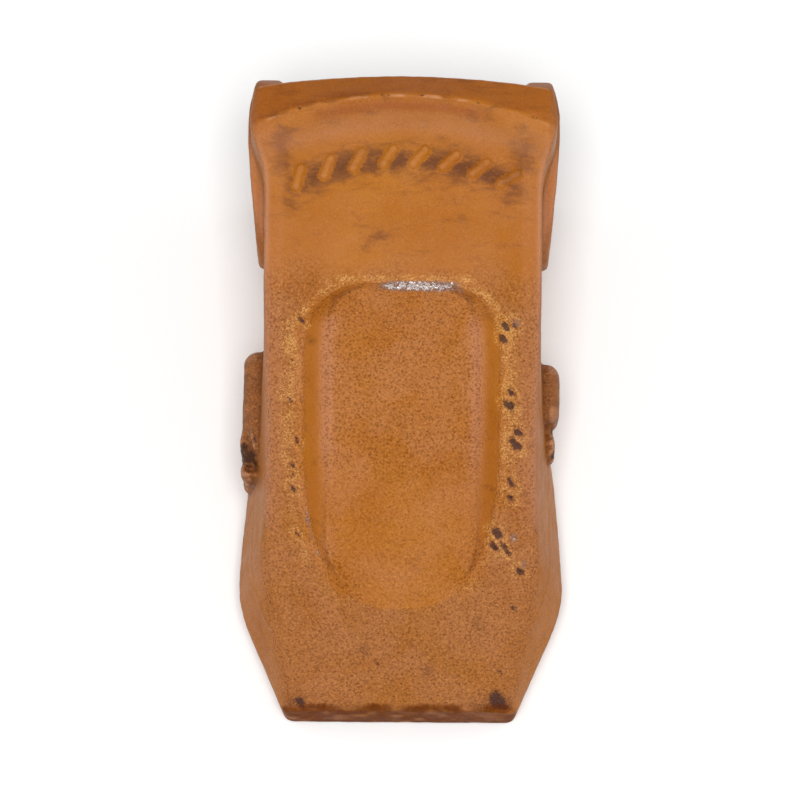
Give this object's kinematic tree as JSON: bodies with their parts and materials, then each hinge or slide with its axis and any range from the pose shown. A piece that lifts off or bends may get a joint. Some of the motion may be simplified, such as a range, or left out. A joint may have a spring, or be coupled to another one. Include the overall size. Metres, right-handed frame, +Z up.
{
  "type": "excavator bucket tooth",
  "caption": "Cast wedge-socket bucket tooth tip with a scooped top, side ears and a flared chisel edge, held by a cross pin with a split retainer.",
  "frame": {"origin": "centre of the tooth's bounding box in plan, on the flat base that it rests on", "axes": "+X to the right seen from behind the tooth with the base down, +Y along the socket's axis out of its mouth, so the cutting edge points to -Y, +Z up through the pocketed top face"},
  "size_m": [0.112, 0.218, 0.1041],
  "materials": {
    "casting_paint": "satin ochre paint over sand-cast steel, chipped on raised edges",
    "pin_steel": "turned, lightly oiled steel",
    "ring_steel": "dark hardened steel"
  },
  "bodies": {
    "tip": {"tip_casting": "casting_paint"},
    "lock_pin": {"lock_pin": "pin_steel"},
    "retainer": {"retainer_ring": "ring_steel"}
  },
  "joints": [
    {"name": "pin_drive", "type": "slide", "parent": "tip", "child": "lock_pin", "axis": [-1, 0, 0], "range_m": [0, 0.115], "deforming": ["retainer_ring"]},
    {"name": "retainer_turn", "type": "hinge", "parent": "tip", "child": "retainer", "pos_m": [0.034, 0.076, 0.05], "axis": [1, 0, 0], "continuous": true}
  ]
}
